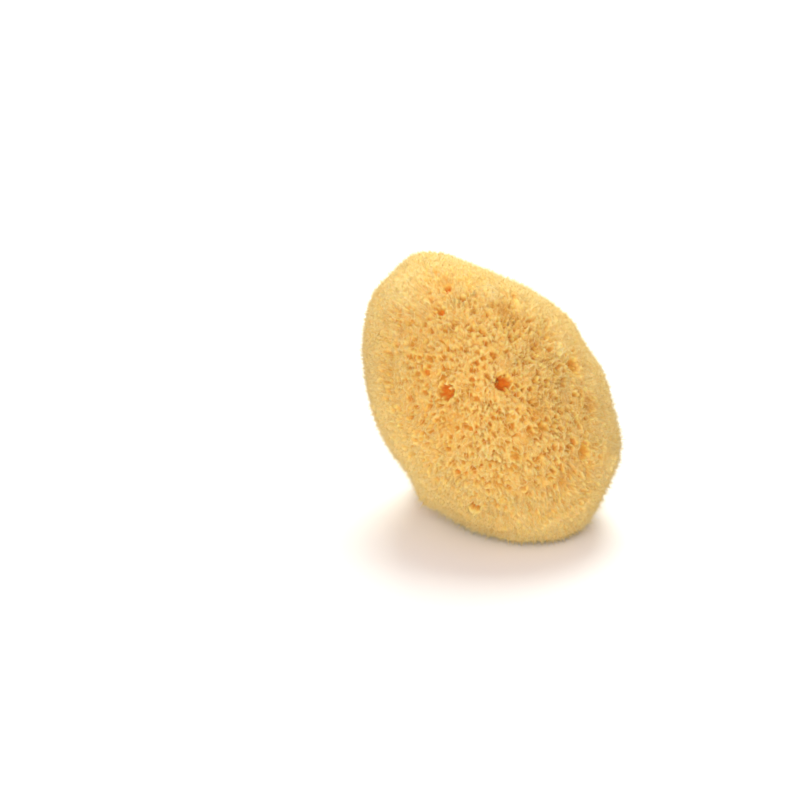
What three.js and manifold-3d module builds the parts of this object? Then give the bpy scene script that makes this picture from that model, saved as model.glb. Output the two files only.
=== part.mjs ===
// A natural silk sea sponge: the dry, elastic skeleton of one small bath sponge, about 80 mm long.
// It is one piece, as it grew. Its underside is trimmed flat where it was cut from the rock, and it rests
// on that cut.
// Millimetres, +Z up. The origin is on the resting plane, in the middle of the sponge's footprint box.

import * as THREE from "three";
import { mergeVertices } from "three/addons/utils/BufferGeometryUtils.js";
import Module from "manifold-3d";

const wasm = await Module();
wasm.setup();

// Driving dimensions of the body before it is trimmed: it is an egg with a flattened back and face.
const LENGTH = 80.4;
const THICKNESS = 47.2;
const WIDTH = 55.8;
// How the body stands: its long axis falls to the right, and its broad face leans back from upright.
const LONG_AXIS_DROP = THREE.MathUtils.degToRad(54.9);
const FACE_LEAN = THREE.MathUtils.degToRad(25);
// Height of the body's middle above the cut that it rests on.
const MIDDLE_HEIGHT = 30;
// Faces along each edge of the box that is drawn out into the body.
const GRID = { length: 30, thickness: 18, width: 22 };

// The sponge's own frame: +x along it to its lower end, +y to its back, +z across it to its upper edge.
// A place on it is an angle round the broad face, from +x towards +z, and a rise from the rim towards
// the face.
// Each swelling is [round, rise, height in mm, reach in degrees]. A negative height is a hollow.
const SWELLINGS = [
  // round the rim
  [170, 0, 1.7, 12],
  [-178, 0, -0.6, 6],
  [-167, 0, 0.5, 7],
  [143, 0, -2.0, 17],
  [100, 5, 1.2, 13],
  [68, 0, 1.0, 14],
  [36, 0, 1.0, 13],
  [16, 0, -1.3, 13],
  [-20, 0, 0.9, 15],
  [-68, -4, 1.7, 8],
  [-84, 0, -1.0, 9],
  [-140, 0, -0.9, 24],
  // on the broad face
  [60, 42, -1.3, 12],
  [150, 50, 0.9, 25],
  [-60, 45, 0.8, 22],
  [-130, 50, -0.7, 18],
  // on the back
  [150, -50, -1.2, 22],
  [40, -40, 1.3, 25],
  [-170, -45, 1.0, 20],
  // the foot, by which it held on to the rock
  [-64, -45, 9.0, 24],
  [-100, -62, 3.0, 20],
  [-20, -56, 4.0, 20],
];

// The larger oscula, the mouths that water left by.
// Each is [round, rise, width at the mouth in mm, depth in mm].
const OSCULA = [
  [-134, 62, 3.4, 6],
  [110, 78, 3.8, 6],
  [27, 31, 3.4, 5],
  [-44, 26, 2.8, 4],
  [165, 27, 2.6, 4],
  [77, 32, 3.6, 4],
  [-150, -40, 3.6, 5],
  [100, -55, 3.8, 5],
  [10, -35, 3.2, 5],
  [150, -20, 2.8, 4],
];
const OSCULUM_SIDES = 10;
// How far an osculum's cutting plug stands out past the skin, so that it opens cleanly.
const PLUG_OVERSHOOT = 4;

// The unit vector from the body's middle to a place on it.
function towards(round, rise) {
  const lon = THREE.MathUtils.degToRad(round);
  const lat = THREE.MathUtils.degToRad(rise);
  return new THREE.Vector3(
    Math.cos(lat) * Math.cos(lon),
    -Math.sin(lat),
    Math.cos(lat) * Math.sin(lon),
  );
}

// The skin's point for a unit vector: a point of the egg, pushed out from the middle by each swelling
// by its height times exp(-(angle / reach)^2).
function skinPoint(unit) {
  const point = unit.clone().multiply(new THREE.Vector3(LENGTH / 2, THICKNESS / 2, WIDTH / 2));
  const outward = point.clone().normalize();
  for (const [round, rise, height, reach] of SWELLINGS) {
    const angle = THREE.MathUtils.radToDeg(outward.angleTo(towards(round, rise)));
    point.addScaledVector(outward, height * Math.exp(-((angle / reach) ** 2)));
  }
  return point;
}

// A closed geometry as a solid that can be cut and joined.
function solidOf(geometry) {
  const bare = geometry.clone();
  bare.deleteAttribute("normal");
  bare.deleteAttribute("uv");
  const merged = mergeVertices(bare, 1e-4);
  const mesh = new wasm.Mesh({
    numProp: 3,
    vertProperties: new Float32Array(merged.attributes.position.array),
    triVerts: new Uint32Array(merged.index.array),
  });
  return new wasm.Manifold(mesh);
}

// A solid as a geometry that can be drawn.
function geometryOf(solid) {
  const mesh = solid.getMesh();
  const geometry = new THREE.BufferGeometry();
  geometry.setAttribute("position", new THREE.BufferAttribute(mesh.vertProperties, 3));
  geometry.setIndex(new THREE.BufferAttribute(mesh.triVerts, 1));
  const faceted = geometry.toNonIndexed();
  faceted.computeVertexNormals();
  return faceted;
}

// The turn from the sponge's own frame to the way it rests.
function restingTurn() {
  const drop = new THREE.Matrix4().makeRotationY(LONG_AXIS_DROP);
  return new THREE.Matrix4().makeRotationX(-FACE_LEAN).multiply(drop);
}

// The whole body: a box with even squares, drawn out through a sphere to the skin.
// The tangent spaces the squares evenly over the sphere.
function bodyGeometry() {
  const { length, thickness, width } = GRID;
  const geometry = new THREE.BoxGeometry(2, 2, 2, length, thickness, width);
  const places = geometry.attributes.position;
  const spread = (share) => Math.tan((share * Math.PI) / 4);
  for (let i = 0; i < places.count; i++) {
    const unit = new THREE.Vector3(
      spread(places.getX(i)),
      spread(places.getY(i)),
      spread(places.getZ(i)),
    ).normalize();
    places.setXYZ(i, ...skinPoint(unit));
  }
  return geometry;
}

// The plug that opens one osculum: a blunt-nosed cup that narrows inwards along the line to the middle.
function osculumPlug([round, rise, mouth, depth]) {
  const radius = mouth / 2;
  const profile = [
    [0, -depth],
    [radius * 0.45, -depth * 0.9],
    [radius * 0.75, -depth * 0.5],
    [radius, 0],
    [radius, PLUG_OVERSHOOT],
    [0, PLUG_OVERSHOOT],
  ].map(([r, y]) => new THREE.Vector2(r, y));
  const geometry = new THREE.LatheGeometry(profile, OSCULUM_SIDES);
  const outward = towards(round, rise);
  const turn = new THREE.Quaternion().setFromUnitVectors(new THREE.Vector3(0, 1, 0), outward);
  const middle = skinPoint(towardsOnEgg(outward));
  return geometry.applyQuaternion(turn).translate(middle.x, middle.y, middle.z);
}

// The unit vector that the egg's scaling carries on to a given direction from the middle.
function towardsOnEgg(outward) {
  return outward.clone().divide(new THREE.Vector3(LENGTH, THICKNESS, WIDTH)).normalize();
}

// The rock below the resting plane, which the body is trimmed against.
function rockGeometry() {
  const size = 2 * LENGTH;
  return new THREE.BoxGeometry(size, size, size).translate(0, 0, -size / 2);
}

// The sponge as it rests, trimmed flat and opened at its oscula.
function spongeGeometry() {
  const turn = restingTurn();
  const place = (geometry) => geometry.applyMatrix4(turn).translate(0, 0, MIDDLE_HEIGHT);
  let solid = solidOf(place(bodyGeometry())).subtract(solidOf(rockGeometry()));
  for (const osculum of OSCULA) {
    solid = solid.subtract(solidOf(place(osculumPlug(osculum))));
  }
  const geometry = geometryOf(solid);
  geometry.computeBoundingBox();
  const middle = geometry.boundingBox.getCenter(new THREE.Vector3());
  return geometry.translate(-middle.x, -middle.y, 0);
}

const drySponge = new THREE.MeshStandardMaterial({ color: 0xf0c674, roughness: 0.95, metalness: 0 });

const sponge = new THREE.Mesh(spongeGeometry(), drySponge);
sponge.name = "sponge";

const seaSponge = new THREE.Group();
seaSponge.add(sponge);

export default seaSponge;
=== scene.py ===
"""A natural silk sea sponge: its porous skin, its tufts of spongin fibre, and a plain studio round it.

The sponge's outline is the solid's: the same egg, swellings and flat cut, worked out again on a fine grid and
fitted to the solid's box. Pores, mouths and folds go into it, and fibres stand on it, as meshes.
Lengths are in millimetres until a mesh is made, and in metres from there on.
"""

import logging
import math
from dataclasses import dataclass, field, fields
from enum import IntEnum

import bpy
import numpy as np
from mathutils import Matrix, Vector


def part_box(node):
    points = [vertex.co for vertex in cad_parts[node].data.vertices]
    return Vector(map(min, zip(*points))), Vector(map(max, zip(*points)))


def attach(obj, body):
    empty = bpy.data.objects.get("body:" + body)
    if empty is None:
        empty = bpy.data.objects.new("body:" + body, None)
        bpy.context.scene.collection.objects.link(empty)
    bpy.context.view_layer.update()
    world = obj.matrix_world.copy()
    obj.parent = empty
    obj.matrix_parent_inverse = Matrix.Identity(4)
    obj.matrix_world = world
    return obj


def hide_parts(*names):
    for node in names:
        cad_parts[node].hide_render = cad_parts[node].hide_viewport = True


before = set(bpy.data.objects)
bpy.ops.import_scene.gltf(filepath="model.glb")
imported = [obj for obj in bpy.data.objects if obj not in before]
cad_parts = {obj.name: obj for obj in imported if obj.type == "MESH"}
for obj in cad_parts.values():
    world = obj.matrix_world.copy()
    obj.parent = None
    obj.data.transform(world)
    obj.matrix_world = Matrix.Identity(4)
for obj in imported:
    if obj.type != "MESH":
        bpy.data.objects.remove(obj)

log = logging.getLogger("sea_sponge")

# Metres in a millimetre.
MM = 0.001
# How far above the ground fibres are kept, in millimetres, where they press flat on it.
LOWEST_FIBRE = 0.015
# The UV map that each piece has, and the share of a chart's square that is used, with a margin round it.
UV_MAP = "OFBake"
CHART_SHARE = 0.96
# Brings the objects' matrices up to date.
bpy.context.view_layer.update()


class Salt(IntEnum):
    """Which set of random numbers each noise takes, so that no two noises are alike."""

    PORES = 11
    TUFTS = 31
    PATCHES = 41
    WAVES = 51
    BLOTCHES = 61
    MOUTH_EDGES = 71
    SLOW_WARP = 81
    QUICK_WARP = 84
    COMB_SWING = 91


# ---------------------------------------------------------------- small tools


def linear_rgba(hex_colour: str) -> tuple[float, float, float, float]:
    """Turns an sRGB hex colour into the linear colour that shaders use.

    Each channel c is c / 12.92 below 0.04045, and ((c + 0.055) / 1.055) to the power 2.4 above it.

    Args:
        hex_colour: Six hex digits, with or without a leading #.

    Returns:
        The linear red, green, blue and an alpha of 1.
    """
    digits = hex_colour.lstrip("#")
    channels = [int(digits[i : i + 2], 16) / 255 for i in (0, 2, 4)]
    linear = [c / 12.92 if c <= 0.04045 else ((c + 0.055) / 1.055) ** 2.4 for c in channels]
    return (linear[0], linear[1], linear[2], 1.0)


def smoothstep(low: float, high: float, value: np.ndarray) -> np.ndarray:
    """Rises from 0 at low to 1 at high as t * t * (3 - 2 * t), where t is the clamped share of the way."""
    share = np.clip((value - low) / (high - low), 0.0, 1.0)
    return share * share * (3.0 - 2.0 * share)


def unit_rows(vectors: np.ndarray) -> np.ndarray:
    """Scales each row of an array of vectors to length 1."""
    return vectors / np.maximum(np.linalg.norm(vectors, axis=1, keepdims=True), 1e-12)


def across(vectors: np.ndarray, normals: np.ndarray) -> np.ndarray:
    """Flattens vectors on to the skin: each loses its part along the normal."""
    return vectors - normals * np.sum(vectors * normals, axis=1, keepdims=True)


def side_ways(axes: np.ndarray) -> tuple[np.ndarray, np.ndarray]:
    """Finds two ways square to each axis and to each other, by cross products with z, or with x near z.

    Args:
        axes: (n, 3) unit vectors.

    Returns:
        Two (n, 3) arrays of unit vectors.
    """
    helper = np.where(np.abs(axes[:, 2:3]) < 0.9, [[0.0, 0.0, 1.0]], [[1.0, 0.0, 0.0]])
    first = unit_rows(np.cross(helper, axes))
    return first, np.cross(axes, first)


def hashed(cells: np.ndarray, salt: int) -> np.ndarray:
    """Gives each whole-number cell a repeatable random number from 0 to 1.

    The three coordinates are mixed into one 32-bit number by odd multipliers and shifts.

    Args:
        cells: An (..., 3) array of whole numbers.
        salt: A number that picks one of many independent sets.

    Returns:
        An array of the leading shape, of numbers from 0 to 1.
    """
    whole = cells.astype(np.int64).astype(np.uint32)
    mixed = whole[..., 0] * np.uint32(0x8DA6B343)
    mixed ^= whole[..., 1] * np.uint32(0xD8163841)
    mixed ^= whole[..., 2] * np.uint32(0xCB1AB31F)
    mixed ^= np.uint32((salt * 0x9E3779B1) & 0xFFFFFFFF)
    for shift, factor in ((16, 0x7FEB352D), (15, 0x846CA68B)):
        mixed ^= mixed >> np.uint32(shift)
        mixed *= np.uint32(factor)
    mixed ^= mixed >> np.uint32(16)
    return mixed.astype(np.float64) / 4294967296.0


def value_noise(points: np.ndarray, salt: int) -> np.ndarray:
    """Smooth noise from -1 to 1: each unit cube's eight random corner values, blended by smoothstep."""
    corner = np.floor(points)
    share = points - corner
    share = share * share * (3.0 - 2.0 * share)
    total = np.zeros(len(points))
    for dx in (0, 1):
        for dy in (0, 1):
            for dz in (0, 1):
                weight = np.abs(1 - dx - share[:, 0])
                weight = weight * np.abs(1 - dy - share[:, 1]) * np.abs(1 - dz - share[:, 2])
                total += weight * hashed(corner + (dx, dy, dz), salt)
    return total * 2.0 - 1.0


def layered_noise(points: np.ndarray, layers: int, salt: int) -> np.ndarray:
    """Sums layers of value noise, each twice as fine and half as strong as the last."""
    total = np.zeros(len(points))
    for layer in range(layers):
        total += value_noise(points * 2.0**layer + 17.3 * layer, salt + layer) * 0.5**layer
    return total


@dataclass(frozen=True)
class Cells:
    """Cellular noise at each point: the distances to its three nearest seeds.

    Own is the nearest seed's random number, and to_seed is the way to it.
    """

    first: np.ndarray
    second: np.ndarray
    third: np.ndarray
    own: np.ndarray
    to_seed: np.ndarray


def cellular_noise(
    points: np.ndarray,
    jitter: float,
    salt: int,
    along: np.ndarray | None = None,
    stretch: np.ndarray | None = None,
) -> Cells:
    """Cellular noise with one seed in each unit cube.

    A seed stands at its cube's middle, moved by up to half of jitter along each axis. The distances from a
    point to the seeds of the 27 cubes round it are sorted, and the first three are kept. Where cells are
    stretched, a squared distance loses (1 - 1 / stretch squared) of its part along the given direction.

    Args:
        points: An (n, 3) array, in units of the seed spacing.
        jitter: How far seeds stray from a regular lattice, from 0 to 1.
        salt: A number that picks the set of seeds.
        along: Unit vectors that cells are drawn out along, or None for round cells.
        stretch: How many times longer than wide the cells are at each point.

    Returns:
        The three distances in units of the spacing, the nearest seed's random number, and the way to it.
    """
    base = np.floor(points)
    best = np.full((4, len(points)), 9.0)
    own = np.zeros(len(points))
    to_seed = np.zeros((len(points), 3))
    for dx in (-1, 0, 1):
        for dy in (-1, 0, 1):
            for dz in (-1, 0, 1):
                cell = base + (dx, dy, dz)
                offset = np.stack([hashed(cell, salt + axis) for axis in range(3)], axis=1) - 0.5
                gap = cell + 0.5 + jitter * offset - points
                square = np.sum(gap * gap, axis=1)
                if along is not None:
                    square -= (1 - 1 / stretch**2) * np.sum(gap * along, axis=1) ** 2
                distance = np.sqrt(np.maximum(square, 0))
                nearer = distance < best[0]
                own = np.where(nearer, hashed(cell, salt + 3), own)
                to_seed = np.where(nearer[:, None], gap, to_seed)
                best[3] = distance
                best.sort(axis=0)
    return Cells(best[0], best[1], best[2], own, to_seed)


# ---------------------------------------------------------------- the sponge's outline


@dataclass(frozen=True)
class Swelling:
    """A bump, or a hollow if its height is negative, at a place on the body. Its height is in millimetres."""

    round_deg: float
    rise_deg: float
    height: float
    reach_deg: float


SWELLINGS = tuple(
    Swelling(*row)
    for row in (
        # round the rim
        (170, 0, 1.7, 12),
        (-178, 0, -0.6, 6),
        (-167, 0, 0.5, 7),
        (143, 0, -2.0, 17),
        (100, 5, 1.2, 13),
        (68, 0, 1.0, 14),
        (36, 0, 1.0, 13),
        (16, 0, -1.3, 13),
        (-20, 0, 0.9, 15),
        (-68, -4, 1.7, 8),
        (-84, 0, -1.0, 9),
        (-140, 0, -0.9, 24),
        # on the broad face
        (60, 42, -1.3, 12),
        (150, 50, 0.9, 25),
        (-60, 45, 0.8, 22),
        (-130, 50, -0.7, 18),
        # on the back
        (150, -50, -1.2, 22),
        (40, -40, 1.3, 25),
        (-170, -45, 1.0, 20),
        # the foot
        (-64, -45, 9.0, 24),
        (-100, -62, 3.0, 20),
        (-20, -56, 4.0, 20),
    )
)


def towards(round_deg: float, rise_deg: float) -> np.ndarray:
    """The unit vector to a place on the body.

    Round is the angle in the broad face's plane from the body's own +x towards +z, and rise is the angle from
    that plane towards the broad face: (cos rise cos round, -sin rise, cos rise sin round).
    """
    lon, lat = math.radians(round_deg), math.radians(rise_deg)
    return np.array([math.cos(lat) * math.cos(lon), -math.sin(lat), math.cos(lat) * math.sin(lon)])


@dataclass
class SpongeOutline:
    """The smooth outline that the skin lies just inside: an egg with swellings, trimmed flat underneath."""

    length: float = 80.4
    thickness: float = 47.2
    width: float = 55.8
    # Its long axis falls to the right, and its broad face leans back from upright.
    long_axis_drop_deg: float = 54.9
    face_lean_deg: float = 25.0
    # Height of the egg's middle above the cut, and how far the cut's edge is rounded.
    middle_height: float = 30.0
    cut_edge_round: float = 1.6
    swellings: tuple[Swelling, ...] = SWELLINGS
    # How tufts are combed: the most that they swing, and how often that changes along a millimetre.
    comb_swing_deg: float = 35.0
    comb_swing_scale: float = 0.14
    # What carries the resting egg on to the solid's box.
    scale: np.ndarray = field(default_factory=lambda: np.ones(3))
    shift: np.ndarray = field(default_factory=lambda: np.zeros(3))

    def half_axes(self) -> np.ndarray:
        """Half of the egg's length, thickness and width."""
        return np.array([self.length, self.thickness, self.width]) / 2

    def turn(self) -> np.ndarray:
        """The rotation from the body's own axes to how it rests: about Y by the drop, then X by the lean."""
        drop, lean = math.radians(self.long_axis_drop_deg), math.radians(-self.face_lean_deg)
        about_y = np.array(
            [[math.cos(drop), 0, math.sin(drop)], [0, 1, 0], [-math.sin(drop), 0, math.cos(drop)]]
        )
        about_x = np.array(
            [[1, 0, 0], [0, math.cos(lean), -math.sin(lean)], [0, math.sin(lean), math.cos(lean)]]
        )
        return about_x @ about_y

    def own_points(self, units: np.ndarray) -> np.ndarray:
        """Untrimmed points in the body's own axes.

        A point is the unit vector times the half axes, moved out from the middle by each swelling's height
        times exp(-(angle to the swelling / its reach) squared).
        """
        points = units * self.half_axes()
        outward = unit_rows(points)
        total = np.zeros(len(points))
        for swelling in self.swellings:
            place = towards(swelling.round_deg, swelling.rise_deg)
            angle = np.degrees(np.arccos(np.clip(outward @ place, -1, 1)))
            total += swelling.height * np.exp(-((angle / swelling.reach_deg) ** 2))
        return points + outward * total[:, None]

    def resting(self, units: np.ndarray) -> np.ndarray:
        """Points as the sponge rests, about its own middle's foot, before they are fitted to the solid's box.

        Along each line out from the middle the skin stands at the nearer of the body's surface and the cut.
        The two radii are joined by a smooth minimum, so the cut's edge is rounded.
        """
        points = self.own_points(units) @ self.turn().T
        radius = np.linalg.norm(points, axis=1)
        outward = points / radius[:, None]
        down = np.maximum(-outward[:, 2], 1e-6)
        to_cut = np.minimum(self.middle_height / down, 1e3)
        gap = np.clip(0.5 + 0.5 * (to_cut - radius) / self.cut_edge_round, 0.0, 1.0)
        trimmed = to_cut * (1 - gap) + radius * gap - self.cut_edge_round * gap * (1 - gap)
        trimmed = np.where(to_cut - radius > self.cut_edge_round, radius, trimmed)
        return outward * trimmed[:, None] + (0.0, 0.0, self.middle_height)

    def fit(self, low: np.ndarray, high: np.ndarray, units: np.ndarray) -> None:
        """Finds the scale and shift that carry the resting outline's box on to the solid's box.

        Args:
            low: The solid's lowest corner, in millimetres.
            high: The solid's highest corner.
            units: Unit vectors spread all over the body.
        """
        points = self.resting(units)
        mine_low, mine_high = points.min(axis=0), points.max(axis=0)
        self.scale = (high - low) / (mine_high - mine_low)
        self.shift = low - mine_low * self.scale

    def skin(self, units: np.ndarray) -> np.ndarray:
        """Points of the outline for unit vectors, in the solid's own frame."""
        return self.resting(units) * self.scale + self.shift

    def normals(self, units: np.ndarray) -> np.ndarray:
        """Outward normals, from the cross product of two small steps along the skin."""
        step = 0.012
        ends = [self.skin(unit_rows(units + step * s * way)) for way in side_ways(units) for s in (1, -1)]
        return unit_rows(np.cross(ends[0] - ends[1], ends[2] - ends[3]))

    def comb(self, units: np.ndarray, normals: np.ndarray) -> np.ndarray:
        """Which way tufts lie: outwards along the skin from the middle of the face or the back.

        The direction is the place's own x and z, turned to rest and flattened on to the skin, then swung
        about the normal by a slow noise.

        Args:
            units: Unit vectors for the places wanted.
            normals: The outline's normals there.

        Returns:
            Unit vectors along the skin.
        """
        own = self.own_points(units) * (1.0, 0.0, 1.0)
        spread = unit_rows(across(own @ self.turn().T, normals))
        noise = value_noise(self.skin(units) * self.comb_swing_scale, Salt.COMB_SWING)
        swing = math.radians(self.comb_swing_deg) * noise[:, None]
        return spread * np.cos(swing) + np.cross(normals, spread) * np.sin(swing)


# ---------------------------------------------------------------- pores and mouths


@dataclass(frozen=True)
class Mouth:
    """An osculum, the mouth of a canal that water left by. Its radius and depth are in millimetres."""

    round_deg: float
    rise_deg: float
    radius: float
    depth: float


MOUTHS = tuple(
    Mouth(*row)
    for row in (
        # on the broad face
        (-134, 62, 2.0, 3.6),
        (110, 78, 1.95, 4.0),
        (27, 31, 1.9, 1.8),
        (78, 31, 2.4, 1.75),
        (-44, 26, 1.5, 2.9),
        (165, 27, 1.2, 2.4),
        (174, 37, 1.2, 2.2),
        (160, 34, 1.0, 1.9),
        (18, 63, 0.8, 1.8),
        (29, 58, 0.8, 1.6),
        (18, 74, 0.75, 1.6),
        (-127, 81, 0.8, 1.6),
        (-147, 49, 0.95, 2.0),
        (157, 71, 0.6, 1.8),
        (-71, 69, 0.75, 1.6),
        (-14, 56, 0.9, 1.4),
        # on the back
        (-150, -40, 1.8, 3.2),
        (100, -55, 1.9, 3.6),
        (10, -35, 1.6, 3.0),
        (150, -20, 1.4, 2.4),
        (60, -22, 1.1, 2.0),
        (30, -62, 1.2, 2.2),
        (170, -62, 1.0, 2.2),
        (-175, -12, 0.9, 1.6),
        (125, -38, 0.9, 1.8),
        # in the cut
        (-70, -15, 1.7, 4.0),
        (-50, -30, 1.3, 3.4),
        (-95, -32, 1.5, 3.6),
        (-40, -10, 1.1, 2.6),
    )
)


@dataclass(frozen=True)
class Fold:
    """A broad hollow in the skin, or a ridge if its depth is negative, with its reach in millimetres."""

    round_deg: float
    rise_deg: float
    depth: float
    reach: float


FOLDS = tuple(
    Fold(*row)
    for row in (
        # on the broad face
        (135, 37, 1.5, 2.2),
        (145, 30, -1.8, 1.9),
        (165, 25, 1.0, 2.4),
        (54, 28, 1.7, 1.9),
        (76, 30, 1.0, 2.6),
        (90, 34, -0.9, 2.0),
        (27, 31, 1.0, 1.9),
        (-141, 26, 0.8, 3.0),
        (128, 43, 0.9, 2.2),
        (106, 33, 0.8, 1.6),
        (108, 47, 0.8, 1.5),
        (29, 10, -0.8, 2.2),
        (14, 33, 0.8, 1.4),
        (6, 33, 0.8, 1.4),
        (-176, 17, -0.7, 5.0),
        (-100, 62, 0.5, 3.0),
        (40, 60, 0.6, 3.2),
        # on the back and the rim
        (120, -30, 1.2, 3.0),
        (135, -36, -0.8, 2.4),
        (20, -50, 1.0, 2.6),
        (-170, -25, 1.1, 2.8),
        (70, -45, -0.9, 3.4),
        (-20, -15, 0.9, 2.2),
        (100, -4, 0.7, 2.4),
        (-160, -58, 0.9, 2.6),
    )
)


@dataclass
class SkinLayers:
    """What makes up the skin at each place: depths in millimetres, and shares from 0 to 1.

    To_tuft is the way along the skin to the middle of the place's own tuft, along is the way tufts lie, and
    parting is the way off from a pore or a mouth close by.
    """

    depth: np.ndarray
    pore: np.ndarray
    gap: np.ndarray
    mouth: np.ndarray
    open_share: np.ndarray
    ring: np.ndarray
    to_tuft: np.ndarray
    along: np.ndarray
    parting: np.ndarray


@dataclass
class PoreField:
    """How far the skin lies in from the outline at each place, from its pores, mouths, folds and tufts.

    Lengths are in millimetres. An open place is one in the middle of the face or the back, and a velvety one
    is on the rim, where pores are fine and shallow.
    """

    outline: SpongeOutline
    # The spacings of pores and of tufts, and how far each strays from a regular lattice.
    pore_pitch: float = 1.75
    pore_jitter: float = 0.92
    tuft_pitch: float = 1.2
    tuft_jitter: float = 0.95
    # How many spacings the tufts' cells are shifted by, which picks the arrangement that they have.
    tuft_shift: float = 40.0
    # How many times longer than wide pores and tufts are, what is added in the ring between velvety and open
    # places, and for tufts what is added in furrows.
    pore_stretch: tuple[float, float] = (1.15, 0.4)
    tuft_stretch: tuple[float, float, float] = (1.2, 0.6, 3.2)
    # Depth of the tufts' tips, and of what goes in from there.
    base_depth: float = 0.7
    pore_depth: float = 2.4
    tuft_height: float = 0.66
    pit_depth: float = 1.0
    uneven_depth: float = 0.3
    wave_depth: float = 0.15
    # How often the waves change along a millimetre.
    wave_scale: float = 0.4
    # How far the skin may stand out past the outline, on the crest of a fold.
    proud: float = 0.6
    # Radius of the narrowest pores, and how much wider the widest are, as shares of their spacing.
    pore_radius: float = 0.19
    pore_radius_spread: float = 0.28
    # The skin goes from velvety to open between these rises, which a blotchy noise shifts by this much.
    velvety_rise_deg: float = -4.0
    open_rise_deg: float = 50.0
    blotch_deg: float = 9.0
    # Where tufts run together into furrows, and how far round each place.
    furrow_places: tuple[tuple[float, float], ...] = ((0, 38), (150, -42), (-30, -8))
    furrow_reach_deg: float = 38.0
    mouths: tuple[Mouth, ...] = MOUTHS
    folds: tuple[Fold, ...] = FOLDS

    def openness(self, units: np.ndarray) -> np.ndarray:
        """How open the pores are, from 0 on the velvety rim to 1 in the middle of the face and the back."""
        own = unit_rows(self.outline.own_points(units))
        rise = np.degrees(np.arcsin(np.clip(np.abs(own[:, 1]), 0, 1)))
        blotch = self.blotch_deg * value_noise(own * 3.1 + 5.0, Salt.BLOTCHES)
        return smoothstep(self.velvety_rise_deg, self.open_rise_deg, rise + blotch)

    def furrowed(self, units: np.ndarray, ring: np.ndarray) -> np.ndarray:
        """How far tufts run together into furrows: exp(-(angle / reach) squared) round each furrowed place.

        Args:
            units: Unit vectors for the places wanted.
            ring: How far each place lies in the ring between velvety and open.

        Returns:
            Shares from 0 to 1, which are less outside the ring.
        """
        outward = unit_rows(units * self.outline.half_axes())
        total = np.zeros(len(units))
        for round_deg, rise_deg in self.furrow_places:
            angle = np.degrees(np.arccos(np.clip(outward @ towards(round_deg, rise_deg), -1, 1)))
            total = np.maximum(total, np.exp(-((angle / self.furrow_reach_deg) ** 2)))
        return total * np.maximum(ring, 0.3)

    def place_on_outline(self, round_deg: float, rise_deg: float) -> np.ndarray:
        """The point of the outline at a place on the body."""
        unit = towards(round_deg, rise_deg) / self.outline.half_axes()
        return self.outline.skin(unit_rows(unit[None, :]))

    def mouth_depth(self, points: np.ndarray) -> tuple[np.ndarray, np.ndarray]:
        """Works out the mouths: each a funnel with a ragged, angular edge.

        A mouth is its full depth out to 0.55 of its radius, and ends at 1.2 of it. Cellular noise with cells
        1.3 mm across moves that edge in and out.

        Args:
            points: Points of the outline.

        Returns:
            The mouths' depth, and the way off from those close by, which fades out at 1.8 radii.
        """
        ragged = cellular_noise(points / 1.3, 0.95, Salt.MOUTH_EDGES)
        edge = 0.95 * (ragged.second - ragged.first) - 0.25
        total = np.zeros(len(points))
        off = np.zeros_like(points)
        for mouth in self.mouths:
            way = points - self.place_on_outline(mouth.round_deg, mouth.rise_deg)
            distance = np.linalg.norm(way, axis=1) / mouth.radius + edge
            total = np.maximum(total, mouth.depth * (1 - smoothstep(0.55, 1.2, distance)))
            off += unit_rows(way) * (1 - smoothstep(0.9, 1.8, distance))[:, None]
        return total, off

    def fold_depth(self, points: np.ndarray) -> np.ndarray:
        """Depth of the broad folds: each its depth times exp(-(distance / reach) squared)."""
        total = np.zeros(len(points))
        for fold in self.folds:
            centre = self.place_on_outline(fold.round_deg, fold.rise_deg)
            distance = np.linalg.norm(points - centre, axis=1)
            total += fold.depth * np.exp(-((distance / fold.reach) ** 2))
        return total

    def warped(self, points: np.ndarray) -> np.ndarray:
        """Shifts points along each axis by a slow noise of up to 0.4 mm and a quick one of up to 0.2 mm.

        The slow one changes 0.9 times a millimetre, and the quick one 1.9 times.
        """
        slow = np.stack([value_noise(points * 0.9, Salt.SLOW_WARP + axis) for axis in range(3)], axis=1)
        quick = np.stack([value_noise(points * 1.9, Salt.QUICK_WARP + axis) for axis in range(3)], axis=1)
        return points + 0.4 * slow + 0.2 * quick

    def tuft_relief(
        self, points: np.ndarray, tufts: Cells, open_share: np.ndarray, furrow: np.ndarray
    ) -> tuple[np.ndarray, np.ndarray]:
        """Works out how far the tufts' sides and the pits between them go in.

        A tuft's side falls with the distance to its seed, and a valley runs where two tufts meet. Furrows
        have lower sides and deeper valleys. Pits open where three tufts meet, in patches.

        Args:
            points: Points of the outline.
            tufts: The tufts' cells at those points.
            open_share: How open the skin is there.
            furrow: How furrowed it is there.

        Returns:
            The depth below the outline, and a share from 0 to 1 of how far each place is in a valley.
        """
        slope = smoothstep(0.05, 0.75, tufts.first)
        gap = 1 - smoothstep(0.02, 0.4, tufts.second - tufts.first)
        junction = 1 - smoothstep(0.04, 0.34, tufts.third - tufts.first)
        patchy = smoothstep(-0.2, 0.5, value_noise(points / 1.7, Salt.PATCHES))
        relief = self.tuft_height * (0.5 + 0.5 * np.maximum(open_share, 0.8 * furrow))
        depth = self.base_depth + relief * ((0.7 - 0.3 * furrow) * slope + (0.3 + 0.75 * furrow) * gap)
        depth += self.uneven_depth * (1 - tufts.own) * (0.6 + 0.4 * open_share)
        depth += self.pit_depth * junction * patchy * (0.35 + 0.65 * open_share)
        return depth, gap

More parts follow.
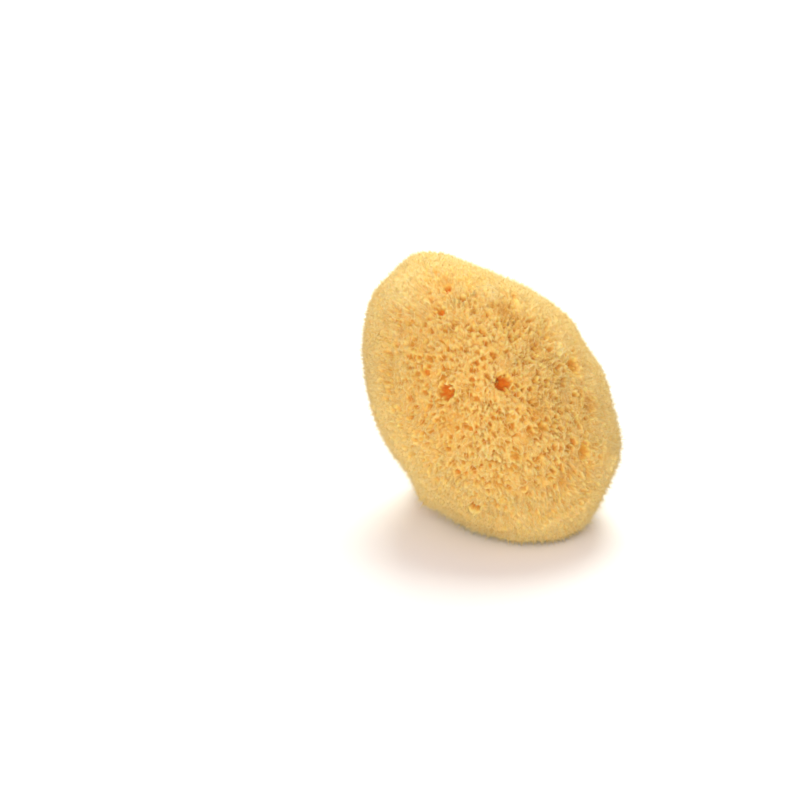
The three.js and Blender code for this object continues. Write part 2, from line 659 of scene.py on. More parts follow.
    def layers(self, units: np.ndarray, normals: np.ndarray) -> SkinLayers:
        """Works out the skin's depth below the outline, and what makes it up.

        Tufts are cells drawn out along the comb, most of all in furrows. Pores are holes round the seeds of a
        coarser set of cells, each of its own width. Mouths and folds go in on top of both.

        Args:
            units: Unit vectors for the places wanted.
            normals: The outline's normals there.

        Returns:
            The layers at those places.
        """
        points = self.outline.skin(units)
        open_share = self.openness(units)
        along = self.outline.comb(units, normals)
        ring = smoothstep(0.0, 0.5, open_share) * (1 - smoothstep(0.75, 1.0, open_share))
        furrow = self.furrowed(units, ring)
        warped = self.warped(points)
        least, in_ring = self.pore_stretch
        stretch = least + in_ring * ring
        holes = cellular_noise(warped / self.pore_pitch, self.pore_jitter, Salt.PORES, along, stretch)
        reach = (self.pore_radius + self.pore_radius_spread * holes.own) * (0.7 + 0.3 * open_share)
        pore = (1 - smoothstep(0.6, 1.25, holes.first / reach)) * (0.3 + 0.7 * open_share)
        least, in_ring, in_furrow = self.tuft_stretch
        stretch = least + in_ring * ring + in_furrow * furrow
        steadied = points + (warped - points) * (1 - 0.5 * furrow[:, None])
        shifted = steadied / self.tuft_pitch + self.tuft_shift
        tufts = cellular_noise(shifted, self.tuft_jitter, Salt.TUFTS, along, stretch)
        depth, gap = self.tuft_relief(points, tufts, open_share, furrow)
        depth = np.maximum(depth, self.pore_depth * pore * (0.55 + 0.45 * holes.own) + 0.4 * depth)
        waves = self.wave_depth * (1 + layered_noise(points * self.wave_scale, 2, Salt.WAVES))
        depth += waves + self.fold_depth(points)
        mouth, parting = self.mouth_depth(points)
        off_pore = unit_rows(-holes.to_seed) * (1 - smoothstep(1.1, 1.9, holes.first / reach))[:, None]
        parting = across(parting + off_pore * open_share[:, None], normals)
        depth = np.maximum(depth, mouth + 0.5 * depth * (mouth > 0.05))
        to_tuft = across(tufts.to_seed * self.tuft_pitch, normals)
        depth = np.maximum(depth, -self.proud)
        return SkinLayers(depth, pore, gap, mouth, open_share, ring, to_tuft, along, parting)


# ---------------------------------------------------------------- meshes


def mesh_object(name: str, points_mm: np.ndarray, faces: np.ndarray, smooth: bool) -> bpy.types.Object:
    """Makes a mesh object at the origin from whole arrays.

    Args:
        name: The piece's name.
        points_mm: (n, 3) vertices in millimetres.
        faces: (m, k) vertex numbers, k corners a face.
        smooth: Whether its faces are shaded smooth.

    Returns:
        The linked object.
    """
    mesh = bpy.data.meshes.new(name)
    count, corners = faces.shape
    mesh.vertices.add(len(points_mm))
    mesh.vertices.foreach_set("co", (points_mm * MM).astype(np.float32).ravel())
    mesh.loops.add(count * corners)
    mesh.loops.foreach_set("vertex_index", faces.astype(np.int32).ravel())
    mesh.polygons.add(count)
    mesh.polygons.foreach_set("loop_start", np.arange(0, count * corners, corners, dtype=np.int32))
    mesh.polygons.foreach_set("use_smooth", np.full(count, smooth))
    mesh.update(calc_edges=True)
    piece = bpy.data.objects.new(name, mesh)
    bpy.context.scene.collection.objects.link(piece)
    return piece


def add_uv(piece: bpy.types.Object, uv: np.ndarray) -> None:
    """Adds the UV map from one (u, v) row for each face corner."""
    layer = piece.data.uv_layers.new(name=UV_MAP)
    layer.data.foreach_set("uv", uv.astype(np.float32).ravel())


def in_chart(uv: np.ndarray) -> np.ndarray:
    """Keeps UV places off their square's edge: uv times the chart's share, plus half of what is left."""
    return uv * CHART_SHARE + (1 - CHART_SHARE) / 2


def add_fibre_uv(piece: bpy.types.Object, tone: np.ndarray, shade: np.ndarray) -> None:
    """Adds a UV map whose u is the fibre's tone and whose v is its painted shade.

    Args:
        piece: The fibres' object.
        tone: (n,) numbers from 0 to 1, one for each fibre.
        shade: (n, k) painted shade from 0 to 1, one for each of a fibre's k face corners.
    """
    u = tone[:, None].repeat(shade.shape[1], axis=1)
    add_uv(piece, in_chart(np.stack([u, shade], axis=-1).reshape(-1, 2)))


def repeated(pattern: np.ndarray, count: int) -> np.ndarray:
    """Repeats one fibre's triangles for each fibre, with its vertex numbers moved on each time."""
    corners = pattern.max() + 1
    return (pattern[None, :, :] + corners * np.arange(count)[:, None, None]).reshape(-1, 3)


def add_point_value(piece: bpy.types.Object, name: str, values: np.ndarray) -> None:
    """Adds one number for each vertex, as an attribute that materials can read."""
    attribute = piece.data.attributes.new(name, "FLOAT", "POINT")
    attribute.data.foreach_set("value", values.astype(np.float32))


@dataclass
class BoxSphere:
    """A closed grid over the sphere: a box with even squares, blown up. Squares are even in angle."""

    along_x: int
    along_y: int
    along_z: int

    def build(self) -> tuple[np.ndarray, np.ndarray, np.ndarray]:
        """Makes the grid.

        A box point, with x, y and z from -1 to 1, goes to the direction whose parts are tan(pi x / 4),
        tan(pi y / 4) and tan(pi z / 4). Corners that faces share are one vertex, found by their whole-number
        place on the box.

        Returns:
            Unit vectors, quads of vertex numbers, and a UV row for each quad corner, six faces on one sheet.
        """
        steps = (self.along_x, self.along_y, self.along_z)
        places, quads, charts = [], [], []
        start = 0
        for axis in range(3):
            first, second = (axis + 1) % 3, (axis + 2) % 3
            for side in (0, 1):
                a, b = np.meshgrid(np.arange(steps[first] + 1), np.arange(steps[second] + 1), indexing="ij")
                place = np.zeros(a.shape + (3,), dtype=np.int64)
                place[..., first], place[..., second], place[..., axis] = a, b, side * steps[axis]
                number = start + np.arange(a.size).reshape(a.shape)
                ring = [number[:-1, :-1], number[1:, :-1], number[1:, 1:], number[:-1, 1:]]
                ring = ring if side else ring[::-1]
                quads.append(np.stack(ring, axis=-1).reshape(-1, 4))
                share = np.stack([a / steps[first], b / steps[second]], axis=-1).reshape(-1, 2)
                charts.append((in_chart(share) + (axis, side)) / (3, 2))
                places.append(place.reshape(-1, 3))
                start += a.size
        place = np.concatenate(places)
        quad = np.concatenate(quads)
        chart = np.concatenate(charts)
        unique, merged = np.unique(place, axis=0, return_inverse=True)
        share = unique / np.array(steps) * 2 - 1
        units = unit_rows(np.tan(share * math.pi / 4))
        return units, merged.reshape(-1)[quad], chart[quad].reshape(-1, 2)


@dataclass
class Strands:
    """Bowed fibres in one mesh, each a closed three-sided rod: a point, two rings of three, and a point."""

    roots: np.ndarray
    tips: np.ndarray
    bows: np.ndarray
    radius: np.ndarray
    tone: np.ndarray
    # Painted shade at the root and at the tip, from 0 for deep shade to 1 for full light.
    root_shade: np.ndarray
    tip_painted_shade: np.ndarray
    # Where the rings stand along a fibre, and their shares of its radius.
    ring_places: tuple[float, float] = (0.12, 0.86)
    ring_widths: tuple[float, float] = (1.0, 0.9)

    def build(self, name: str) -> bpy.types.Object:
        """Makes the mesh.

        A fibre's middle line is a parabola from root to tip that passes its bow's distance off the straight
        line half way. Its rings stand at the two ring places along it.

        Args:
            name: The piece's name.

        Returns:
            The linked object, with a UV map whose u is the fibre's tone and whose v is its painted shade.
        """
        side, other = side_ways(unit_rows(self.tips - self.roots))
        rows = [self.roots]
        for share, thick in zip(self.ring_places, self.ring_widths):
            middle = self.roots + (self.tips - self.roots) * share + self.bows * (4 * share * (1 - share))
            for corner in range(3):
                angle = 2 * math.pi * corner / 3
                spoke = side * math.cos(angle) + other * math.sin(angle)
                rows.append(middle + spoke * (self.radius * thick)[:, None])
        rows.append(self.tips)
        points = np.stack(rows, axis=1).reshape(-1, 3)
        points[:, 2] = np.maximum(points[:, 2], LOWEST_FIBRE)
        pattern = np.array(
            [(0, 2, 1), (0, 3, 2), (0, 1, 3)]
            + [(1, 2, 5), (1, 5, 4), (2, 3, 6), (2, 6, 5), (3, 1, 4), (3, 4, 6)]
            + [(4, 5, 7), (5, 6, 7), (6, 4, 7)]
        )
        piece = mesh_object(name, points, repeated(pattern, len(self.roots)), True)
        first, second = self.ring_places
        along = np.array([0.0, first, first, first, second, second, second, 1.0])[pattern].reshape(1, -1)
        shade = self.root_shade[:, None] * (1 - along) + self.tip_painted_shade[:, None] * along
        add_fibre_uv(piece, self.tone, shade)
        return piece


@dataclass
class Spikes:
    """Short straight fibres in one mesh, each a slender closed pyramid on a three-cornered foot."""

    roots: np.ndarray
    tips: np.ndarray
    radius: np.ndarray
    tone: np.ndarray
    # Painted shade at the root and at the tip, from 0 for deep shade to 1 for full light.
    root_shade: np.ndarray
    tip_painted_shade: np.ndarray

    def build(self, name: str) -> bpy.types.Object:
        """Makes the mesh. A foot's corners stand at thirds of a turn about the fibre, at its radius.

        Args:
            name: The piece's name.

        Returns:
            The linked object, with a UV map whose u is the fibre's tone and whose v is its painted shade.
        """
        side, other = side_ways(unit_rows(self.tips - self.roots))
        rows = []
        for corner in range(3):
            angle = 2 * math.pi * (corner / 3 + self.tone)[:, None]
            rows.append(self.roots + (side * np.cos(angle) + other * np.sin(angle)) * self.radius[:, None])
        rows.append(self.tips)
        points = np.stack(rows, axis=1).reshape(-1, 3)
        points[:, 2] = np.maximum(points[:, 2], LOWEST_FIBRE)
        pattern = np.array([(0, 2, 1), (0, 1, 3), (1, 2, 3), (2, 0, 3)])
        piece = mesh_object(name, points, repeated(pattern, len(self.roots)), True)
        at_tip = (pattern.reshape(1, -1) == 3).astype(float)
        shade = self.root_shade[:, None] * (1 - at_tip) + self.tip_painted_shade[:, None] * at_tip
        add_fibre_uv(piece, self.tone, shade)
        return piece


# ---------------------------------------------------------------- finishes


def add_node(
    tree: bpy.types.NodeTree, kind: str, links: dict | None = None, **settings: object
) -> bpy.types.Node:
    """Adds a node with its settings, and links its inputs.

    Args:
        tree: The material's node tree.
        kind: The node's type name.
        links: For each input name or number, an output socket to link or a value to set.
        settings: Values of the node's own properties.

    Returns:
        The new node.
    """
    node = tree.nodes.new(kind)
    for name, value in settings.items():
        setattr(node, name, value)
    for socket, source in (links or {}).items():
        if isinstance(source, bpy.types.NodeSocket):
            tree.links.new(source, node.inputs[socket])
        else:
            node.inputs[socket].default_value = source
    return node


def colour_ramp(
    tree: bpy.types.NodeTree, source: bpy.types.NodeSocket, stops: tuple[tuple[float, str], ...]
) -> bpy.types.Node:
    """Adds a colour ramp with the given (place, hex colour) stops."""
    node = add_node(tree, "ShaderNodeValToRGB", {0: source})
    ramp = node.color_ramp
    while len(ramp.elements) > 1:
        ramp.elements.remove(ramp.elements[-1])
    ramp.elements[0].position = stops[0][0]
    ramp.elements[0].color = linear_rgba(stops[0][1])
    for place, colour in stops[1:]:
        ramp.elements.new(place).color = linear_rgba(colour)
    return node


# A finish's colours: each a share from 0 to 1 and the hex colour there.
Stops = tuple[tuple[float, str], ...]


@dataclass(frozen=True)
class SpongeSkinFinish:
    """Dry spongin seen down between its fibres: pale on the crests, painted deep orange down in the pores.

    Spongin is a horny protein, grown as a mesh, then bleached and dried. It gives no clear highlight, and
    light that goes in between its fibres comes out warmer. Here that is painted: the colour deepens with the
    skin's depth as painted shade and painted warm bounce light, so hollows are orange, not dark as in a
    solid.
    """

    name: str = "dry spongin skin"
    # Pale on the crests, then deeper and more orange down in hollows: painted shade and painted bounce light.
    stops: Stops = ((0.0, "#FBDC90"), (0.4, "#F3C76C"), (0.75, "#E8AB4A"), (1.0, "#EE8A2A"))
    # Horn and other dry protein have an IOR of about 1.5. The mesh of fibres breaks up most of its gloss.
    ior: float = 1.5
    specular_level: float = 0.2
    roughness: float = 0.95
    # Light goes some 4 mm into the mesh, red furthest.
    scatter_share: float = 0.6
    scatter_depth: float = 0.004
    scatter_spread: tuple[float, float, float] = (1.0, 0.55, 0.2)
    # Fibre ends too fine to draw give a pale bloom at grazing angles.
    sheen: float = 0.25
    sheen_roughness: float = 0.5
    sheen_tint: str = "#FFE9B0"
    # Blotches about 6 mm across shift the colour's depth this much either way.
    blotch_scale: float = 160.0
    blotch_shift: float = 0.10
    # Ends of cut fibres about 0.3 mm across, drawn coarser than the real 0.03 mm so that they show.
    grain_scale: float = 2600.0
    grain_strength: float = 0.8
    grain_height: float = 0.0003

    def material(self) -> bpy.types.Material:
        """Builds the material: colour by the skin's depth as painted shade, with blotches, and grain as bump.
        """
        material = bpy.data.materials.new(self.name)
        material.use_nodes = True
        tree = material.node_tree
        tree.nodes.clear()
        # The skin's depth share, which sets the painted shade of pores, valleys and mouths.
        deep = add_node(tree, "ShaderNodeAttribute", attribute_name="deep")
        place = add_node(tree, "ShaderNodeTexCoord")
        blotch = add_node(
            tree,
            "ShaderNodeTexNoise",
            {"Vector": place.outputs["Object"], "Scale": self.blotch_scale, "Detail": 3.0},
        )
        shift = add_node(
            tree,
            "ShaderNodeMapRange",
            {
                "Value": blotch.outputs[0],
                "From Min": 0.3,
                "From Max": 0.7,
                "To Min": -self.blotch_shift,
                "To Max": self.blotch_shift,
            },
        )
        level = add_node(
            tree,
            "ShaderNodeMath",
            {0: deep.outputs["Fac"], 1: shift.outputs[0]},
            operation="ADD",
            use_clamp=True,
        )
        colour = colour_ramp(tree, level.outputs[0], self.stops)
        grain = add_node(
            tree,
            "ShaderNodeTexNoise",
            {"Vector": place.outputs["Object"], "Scale": self.grain_scale, "Detail": 2.0},
        )
        bump = add_node(
            tree,
            "ShaderNodeBump",
            {"Height": grain.outputs[0], "Strength": self.grain_strength, "Distance": self.grain_height},
        )
        shader = add_node(
            tree,
            "ShaderNodeBsdfPrincipled",
            {
                "Base Color": colour.outputs[0],
                "Roughness": self.roughness,
                "IOR": self.ior,
                "Specular IOR Level": self.specular_level,
                "Subsurface Weight": self.scatter_share,
                "Subsurface Scale": self.scatter_depth,
                "Subsurface Radius": self.scatter_spread,
                "Sheen Weight": self.sheen,
                "Sheen Roughness": self.sheen_roughness,
                "Sheen Tint": linear_rgba(self.sheen_tint),
                "Normal": bump.outputs[0],
            },
        )
        add_node(tree, "ShaderNodeOutputMaterial", {"Surface": shader.outputs[0]})
        return material


@dataclass(frozen=True)
class FibreFinish:
    """Single spongin fibres: golden at the root and pale straw at the tip as painted shade, each a little
    different.

    A dried fibre is matt and far thinner than it is drawn, so it has the colour that a wisp of many has.
    """

    name: str = "dry spongin fibre"
    # From the painted shade deep in the coat at the root to the painted light at the tip.
    stops: Stops = ((0.0, "#F7C66A"), (0.45, "#FDDE92"), (0.85, "#FFECAE"), (1.0, "#FFF3C8"))
    ior: float = 1.5
    specular_level: float = 0.1
    roughness: float = 0.8
    # Lightness of the darkest and the lightest fibre, as a share of the ramp's colour.
    darkest: float = 0.92
    lightest: float = 1.04

    def material(self) -> bpy.types.Material:
        """Builds the material: colour by the painted shade in the UV map's v, and lightness by the fibre's
        own tone.
        """
        material = bpy.data.materials.new(self.name)
        material.use_nodes = True
        tree = material.node_tree
        tree.nodes.clear()
        chart = add_node(tree, "ShaderNodeUVMap", uv_map=UV_MAP)
        parts = add_node(tree, "ShaderNodeSeparateXYZ", {0: chart.outputs[0]})
        # The UV map's v is the painted shade, low at the shaded root and high at the lit tip.
        colour = colour_ramp(tree, parts.outputs[1], self.stops)
        tone = add_node(
            tree,
            "ShaderNodeMapRange",
            {"Value": parts.outputs[0], "To Min": self.darkest, "To Max": self.lightest},
        )
        tinted = add_node(
            tree, "ShaderNodeHueSaturation", {"Color": colour.outputs[0], "Value": tone.outputs[0]}
        )
        shader = add_node(
            tree,
            "ShaderNodeBsdfPrincipled",
            {
                "Base Color": tinted.outputs[0],
                "Roughness": self.roughness,
                "IOR": self.ior,
                "Specular IOR Level": self.specular_level,
            },
        )
        add_node(tree, "ShaderNodeOutputMaterial", {"Surface": shader.outputs[0]})
        return material


# ---------------------------------------------------------------- the sponge


@dataclass
class Places:
    """Places on the skin where fibres are rooted, with the outline's normals and the skin's layers there."""

    points: np.ndarray
    normals: np.ndarray
    layers: SkinLayers

    def only(self, kept: np.ndarray) -> "Places":
        """Keeps some of the places."""
        layers = SkinLayers(*(getattr(self.layers, part.name)[kept] for part in fields(SkinLayers)))
        return Places(self.points[kept], self.normals[kept], layers)


@dataclass
class Skin:
    """The skin's grid with its layers, from which fibres take their places."""

    quads: np.ndarray
    uv: np.ndarray
    normals: np.ndarray
    points: np.ndarray
    layers: SkinLayers

    def scatter(self, rng: np.random.Generator, count: int) -> Places:
        """Picks places evenly over the skin: a random quad each, and a random mean of its four corners.

        The corners' weights are (1 - a)(1 - b), a (1 - b), a b and (1 - a) b, for random a and b from 0 to 1.

        Args:
            rng: The source of random draws.
            count: How many places to pick.

        Returns:
            The places picked.
        """
        corners = self.quads[rng.integers(0, len(self.quads), count)]
        a, b = rng.random((2, count))
        weights = np.stack([(1 - a) * (1 - b), a * (1 - b), a * b, (1 - a) * b], axis=1)

        def mean(values: np.ndarray) -> np.ndarray:
            """The weighted mean of each place's four corner values."""
            if values.ndim == 1:
                return np.sum(values[corners] * weights, axis=1)
            return np.sum(values[corners] * weights[:, :, None], axis=1)

        layers = SkinLayers(*(mean(getattr(self.layers, part.name)) for part in fields(SkinLayers)))
        return Places(mean(self.points), unit_rows(mean(self.normals)), layers)


@dataclass
class Sponge:
    """The whole sponge: its skin, and the fibres that stand on it."""

    outline: SpongeOutline = field(default_factory=SpongeOutline)
    grid: tuple[int, int, int] = (164, 105, 120)
    # How many fibres each coat tries to grow.
    tuft_fibres: int = 46000
    hairs: int = 64000
    # The shares of fibres and of hairs that are left out in the most open places.
    tufts_thinned: float = 0.3
    hairs_thinned: float = 0.6
    # The web's knots, how far apart they are in millimetres, and the most fibres that join them.
    web_grid: tuple[int, int, int] = (58, 37, 42)
    web_pitch: float = 1.0
    web_limit: int = 8000
    # How far knots stray, as a share of their spacing. How far they are lifted off the skin, and the deepest
    # skin that they follow, in millimetres.
    web_stray: float = 0.42
    web_lifts: tuple[float, float] = (0.1, 0.45)
    web_deepest: float = 1.7
    # Shortest fibres, the mean of what is added to them, and the longest, in millimetres.
    tuft_lengths: tuple[float, float, float] = (0.45, 0.38, 1.6)
    hair_lengths: tuple[float, float, float] = (0.75, 0.7, 3.4)
    # Thinnest and thickest fibres' radius at the root, in millimetres.
    tuft_radii: tuple[float, float] = (0.05, 0.10)
    hair_radii: tuple[float, float] = (0.02, 0.036)
    web_radii: tuple[float, float] = (0.05, 0.085)
    # How far roots are sunk into the skin, in millimetres.
    tuft_root: float = 0.12
    hair_root: float = 0.1
    # How much of the way off from a pore or a mouth a tuft's fibre leans.
    parting_lean: float = 0.45
    # How much of the way to its tuft's middle a hair leans, and the spread of its own lean in millimetres.
    hair_lean: float = 0.6
    hair_spread: float = 0.32
    seed: int = 20

    def fit_to_solid(self) -> None:
        """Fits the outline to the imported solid's box."""
        low, high = (np.array(corner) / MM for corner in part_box("sponge"))
        units, _, _ = BoxSphere(60, 40, 46).build()
        self.outline.fit(low, high, units)

    def work_out_skin(self, pores: PoreField) -> Skin:
        """Works out the skin on its grid: the outline, moved in along its normals by the layers' depth."""
        units, quads, uv = BoxSphere(*self.grid).build()
        normals = self.outline.normals(units)
        layers = pores.layers(units, normals)
        points = self.outline.skin(units) - normals * layers.depth[:, None]
        points[:, 2] = np.maximum(points[:, 2], 0.0)
        return Skin(quads, uv, normals, points, layers)

    def build_skin(self, skin: Skin) -> bpy.types.Object:
        """Builds the skin's mesh, with how deep its painted shade is as an attribute.

        The colour deepens as painted shade from 0.7 to 2.35 mm below the outline, half as much where the skin
        is velvety, and to its full depth inside a mouth.

        Args:
            skin: The skin's grid and layers.

        Returns:
            The linked object.
        """
        piece = mesh_object("sponge_skin", skin.points, skin.quads, True)
        add_uv(piece, skin.uv)
        layers = skin.layers
        # Painted shade: the deeper the skin lies in pores, valleys and mouths, the darker and more orange it
        # is.
        deep = np.clip((layers.depth - 0.7) / 2.2, 0, 0.75) * (0.5 + 0.5 * layers.open_share)
        deep = np.maximum(deep, smoothstep(0.3, 2.4, layers.mouth))
        add_point_value(piece, "deep", deep)
        piece.data.materials.append(SpongeSkinFinish().material())
        return piece

    def tufts(self, skin: Skin, rng: np.random.Generator, count: int) -> Spikes:
        """Works out the fibres of the tufts, which lean in to their own tuft's tip and along the comb.

        A fibre's length is the shortest plus an exponential draw. It is less in valleys and beside pores.
        Its lean is a share of the way to its tuft's middle, a share of its length along the comb, a normal
        draw, and a share of the way off from a pore or a mouth. Deep ones are painted darker, as are those in
        valleys, and roots in open places: painted shade. Tips on the velvety rim are paler, partly the rim's
        own paler colour and partly painted rim light.

        Args:
            skin: The skin that they stand on.
            rng: The source of random draws.
            count: How many to try. Those in pores and mouths are left out, and some of those in open places.

        Returns:
            The fibres.
        """
        at = skin.scatter(rng, count)
        bare = (at.layers.pore > 0.25) | (at.layers.mouth > 0.15)
        at = at.only(~(bare | (rng.random(count) < self.tufts_thinned * at.layers.open_share)))
        count = len(at.points)
        layers = at.layers
        shortest, added, longest = self.tuft_lengths
        length = (shortest + rng.exponential(added, count)).clip(0, longest) * (1 - 0.4 * layers.gap)
        length *= 1 - 0.8 * layers.pore
        away = np.linalg.norm(layers.to_tuft, axis=1)
        lean = layers.to_tuft * (rng.uniform(0.4, 0.8, count) * np.minimum(1.0, 1.0 / (away + 0.01)))[:, None]
        lean += layers.along * (0.2 + 0.3 * layers.ring)[:, None] * length[:, None]
        lean += rng.normal(size=(count, 3)) * (0.17 - 0.07 * layers.open_share)[:, None]
        lean += layers.parting * self.parting_lean
        # Painted shade: tips darker in valleys and deep places. On the velvety rim they are paler, partly the
        # rim's own colour and partly painted rim light.
        pale = 1.03 - 0.12 * layers.open_share - 0.35 * layers.gap * layers.open_share
        pale -= 0.22 * (layers.depth - 1.1)
        return Spikes(
            roots=at.points - at.normals * self.tuft_root,
            tips=at.points + at.normals * length[:, None] + lean,
            radius=rng.uniform(*self.tuft_radii, count) * (0.8 + 0.25 * layers.open_share),
            tone=rng.random(count),
            # Roots are painted darker, most in open places: painted shade deep in the coat.
            root_shade=0.35 - 0.28 * layers.open_share,
            tip_painted_shade=np.clip(pale, 0.15, 1.0),
        )

    def fuzz(self, skin: Skin, rng: np.random.Generator) -> Spikes:
        """Works out the finest hairs, which stand out past the tufts and give the sponge its soft edge.

        A hair's length is the shortest plus an exponential draw, and it leans to its tuft's middle. None
        stand in mouths and pores, and some of those in open places are left out.

        Args:
            skin: The skin that they stand on.
            rng: The source of random draws.

        Returns:
            The hairs.
        """
        at = skin.scatter(rng, self.hairs)
        kept = (at.layers.mouth < 0.1) & (at.layers.pore < 0.2)
        at = at.only(kept & (rng.random(self.hairs) > self.hairs_thinned * at.layers.open_share))
        count = len(at.points)
        shortest, added, longest = self.hair_lengths
        length = (shortest + rng.exponential(added, count)).clip(0, longest)
        lean = at.layers.to_tuft * self.hair_lean + rng.normal(size=(count, 3)) * self.hair_spread
        return Spikes(
            roots=at.points - at.normals * self.hair_root,
            tips=at.points + at.normals * length[:, None] + lean,
            radius=rng.uniform(*self.hair_radii, count),
            tone=rng.random(count),
            # Hairs are painted darker at the root: painted shade deep in the coat.
            root_shade=np.full(count, 0.5),
            tip_painted_shade=np.ones(count),
        )

    def web(self, pores: PoreField, rng: np.random.Generator) -> Strands:
        """Works out the web of thicker fibres that lies over the open parts of the skin.

        Knots are the corners of a closed grid, each strayed by a share of the spacing and lifted a little off
        the skin. Fibres join neighbours along the grid and across half of its squares, and are left out over
        pores and mouths. Most are left out on the velvety rim.

        Args:
            pores: The pore field that they lie over.
            rng: The source of random draws.

        Returns:
            The web's fibres.
        """
        units, quads, _ = BoxSphere(*self.web_grid).build()
        stray = rng.uniform(-self.web_stray, self.web_stray, (len(units), 3))
        stray = stray * self.web_pitch / self.outline.half_axes()
        units = unit_rows(units + stray)
        normals = self.outline.normals(units)
        layers = pores.layers(units, normals)
        lift = rng.uniform(*self.web_lifts, len(units))
        knots = self.outline.skin(units)
        knots -= normals * (np.minimum(layers.depth, self.web_deepest) - lift)[:, None]
        sides = np.concatenate([quads[:, [i, (i + 1) % 4]] for i in range(4)])
        crossed = quads[rng.random(len(quads)) < 0.5]
        pairs = np.unique(np.sort(np.concatenate([sides, crossed[:, [0, 2]]]), axis=1), axis=0)
        chance = 0.08 + 0.85 * layers.open_share[pairs].mean(axis=1)
        kept = rng.random(len(pairs)) < chance
        kept &= (layers.pore[pairs].min(axis=1) < 0.4) & (layers.mouth[pairs].max(axis=1) < 0.6)
        pairs = rng.permutation(pairs[kept])[: self.web_limit]
        ends = knots[pairs]
        # Painted shade: knots that lie deeper in the skin are painted darker.
        shade = np.clip(1.3 - 0.5 * layers.depth, 0.1, 1)
        count = len(pairs)
        bows = normals[pairs[:, 0]] * rng.uniform(-0.1, 0.16, count)[:, None]
        bows += rng.normal(size=(count, 3)) * 0.11
        return Strands(
            roots=ends[:, 0],
            tips=ends[:, 1],
            bows=bows,
            radius=rng.uniform(*self.web_radii, count),
            tone=rng.random(count),
            root_shade=shade[pairs[:, 0]],
            tip_painted_shade=shade[pairs[:, 1]],
        )

    def build(self) -> list[bpy.types.Object]:
        """Builds every piece and attaches each to the root body."""
        self.fit_to_solid()
        pores = PoreField(self.outline)
        skin = self.work_out_skin(pores)
        body = self.build_skin(skin)
        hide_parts("sponge")
        pieces = [body]
        rng = np.random.default_rng(self.seed)
        fibre = FibreFinish().material()
        coats = {
            "tufts_a": self.tufts(skin, rng, self.tuft_fibres),
            "tufts_b": self.tufts(skin, rng, self.tuft_fibres),
            "tufts_c": self.tufts(skin, rng, self.tuft_fibres),
            "fuzz": self.fuzz(skin, rng),
            "web": self.web(pores, rng),
        }
        for name, coat in coats.items():
            piece = coat.build(name)
            piece.data.materials.append(fibre)
            pieces.append(piece)
        for piece in pieces:
            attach(piece, "root")
        return pieces


# ---------------------------------------------------------------- the studio


@dataclass(frozen=True)
class PaperFinish:
    """Matt white paper, which shows soft shadows and no gloss."""

    name: str = "white paper sweep"
    colour: str = "#FBFBFB"
    roughness: float = 0.9

    def material(self) -> bpy.types.Material:
        """Builds the material."""
        material = bpy.data.materials.new(self.name)
        material.use_nodes = True
        tree = material.node_tree
        tree.nodes.clear()
        shader = add_node(
            tree,
            "ShaderNodeBsdfPrincipled",
            {"Base Color": linear_rgba(self.colour), "Roughness": self.roughness},
        )
        add_node(tree, "ShaderNodeOutputMaterial", {"Surface": shader.outputs[0]})
        return material


@dataclass(frozen=True)
class Softbox:
    """A square area light that points at the sponge. Place and side are in metres, and power in watts."""

    name: str
    place: tuple[float, float, float]
    side: float
    power: float
    colour: str

    def build(self, aim: tuple[float, float, float]) -> None:
        """Adds the light, turned so that its own -z points at the aim."""
        lamp = bpy.data.lights.new(self.name, "AREA")
        lamp.size = self.side
        lamp.energy = self.power
        lamp.color = linear_rgba(self.colour)[:3]
        holder = bpy.data.objects.new(self.name, lamp)
        bpy.context.scene.collection.objects.link(holder)
        holder.location = self.place
        way = Vector(aim) - Vector(self.place)
        holder.rotation_euler = way.to_track_quat("-Z", "Y").to_euler()


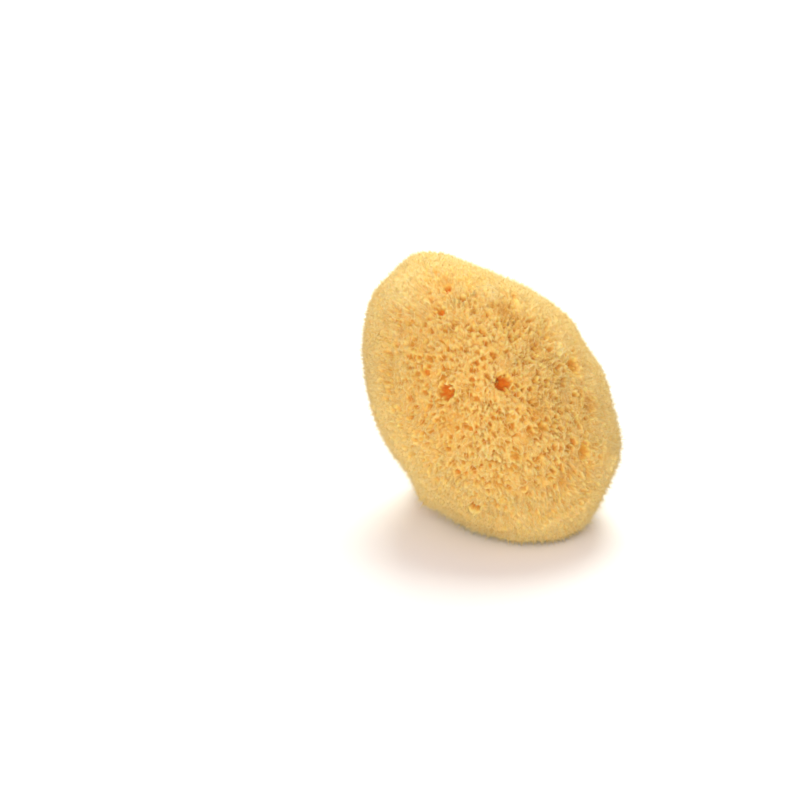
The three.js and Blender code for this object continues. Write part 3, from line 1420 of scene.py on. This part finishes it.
@dataclass
class Studio:
    """A white sweep, soft lights and the camera. Lengths are in metres, but for the floor's side."""

    floor_side_mm: float = 4000.0
    # Even light from all round, a little warm.
    sky_colour: tuple[float, float, float, float] = (1.0, 0.86, 0.88, 1.0)
    sky_strength: float = 0.57
    # The key stands high behind, so the shadow falls forward, and the other fills the face.
    lights: tuple[Softbox, ...] = (
        Softbox("key", (0.05, 0.43, 0.65), 0.5, 6.2, "#F6FFF8"),
        Softbox("front", (-0.2, -0.82, 0.47), 0.8, 5.2, "#FFFDF4"),
    )
    lights_aim: tuple[float, float, float] = (0.0, 0.0, 0.03)
    # The camera looks down at its target from in front.
    lens_mm: float = 100.0
    sensor_mm: float = 36.0
    camera_rise_deg: float = 25.0
    camera_distance: float = 0.5495
    camera_target: tuple[float, float, float] = (-0.02265, 0.0, 0.0301)

    def build_floor(self) -> None:
        """Lays the white floor."""
        corners = np.array([(-1, -1, 0), (1, -1, 0), (1, 1, 0), (-1, 1, 0)])
        floor = mesh_object("floor", corners * self.floor_side_mm / 2, np.array([[0, 1, 2, 3]]), False)
        floor.data.materials.append(PaperFinish().material())

    def build_sky(self) -> None:
        """Sets the even light from all round."""
        world = bpy.data.worlds.new("studio")
        bpy.context.scene.world = world
        world.use_nodes = True
        background = world.node_tree.nodes["Background"]
        background.inputs[0].default_value = self.sky_colour
        background.inputs[1].default_value = self.sky_strength

    def build_camera(self) -> None:
        """Sets up the camera, at its rise and distance from its target."""
        camera_data = bpy.data.cameras.new("camera")
        camera_data.lens = self.lens_mm
        camera_data.sensor_width = self.sensor_mm
        camera = bpy.data.objects.new("camera", camera_data)
        bpy.context.scene.collection.objects.link(camera)
        rise = math.radians(self.camera_rise_deg)
        away = Vector((0, -math.cos(rise), math.sin(rise)))
        camera.location = Vector(self.camera_target) + away * self.camera_distance
        camera.rotation_euler = (-away).to_track_quat("-Z", "Y").to_euler()
        bpy.context.scene.camera = camera

    def build(self) -> None:
        """Builds the floor, the sky, the lights and the camera, and sets plain colour rendering."""
        self.build_floor()
        self.build_sky()
        for light in self.lights:
            light.build(self.lights_aim)
        bpy.context.scene.view_settings.view_transform = "Standard"
        self.build_camera()


def main() -> None:
    """Builds the sponge and its studio, in order."""
    logging.basicConfig(level=logging.INFO, format="%(message)s")
    Studio().build()
    for piece in Sponge().build():
        log.info("piece %s: %d faces", piece.name, len(piece.data.polygons))


if __name__ == "__main__":
    main()
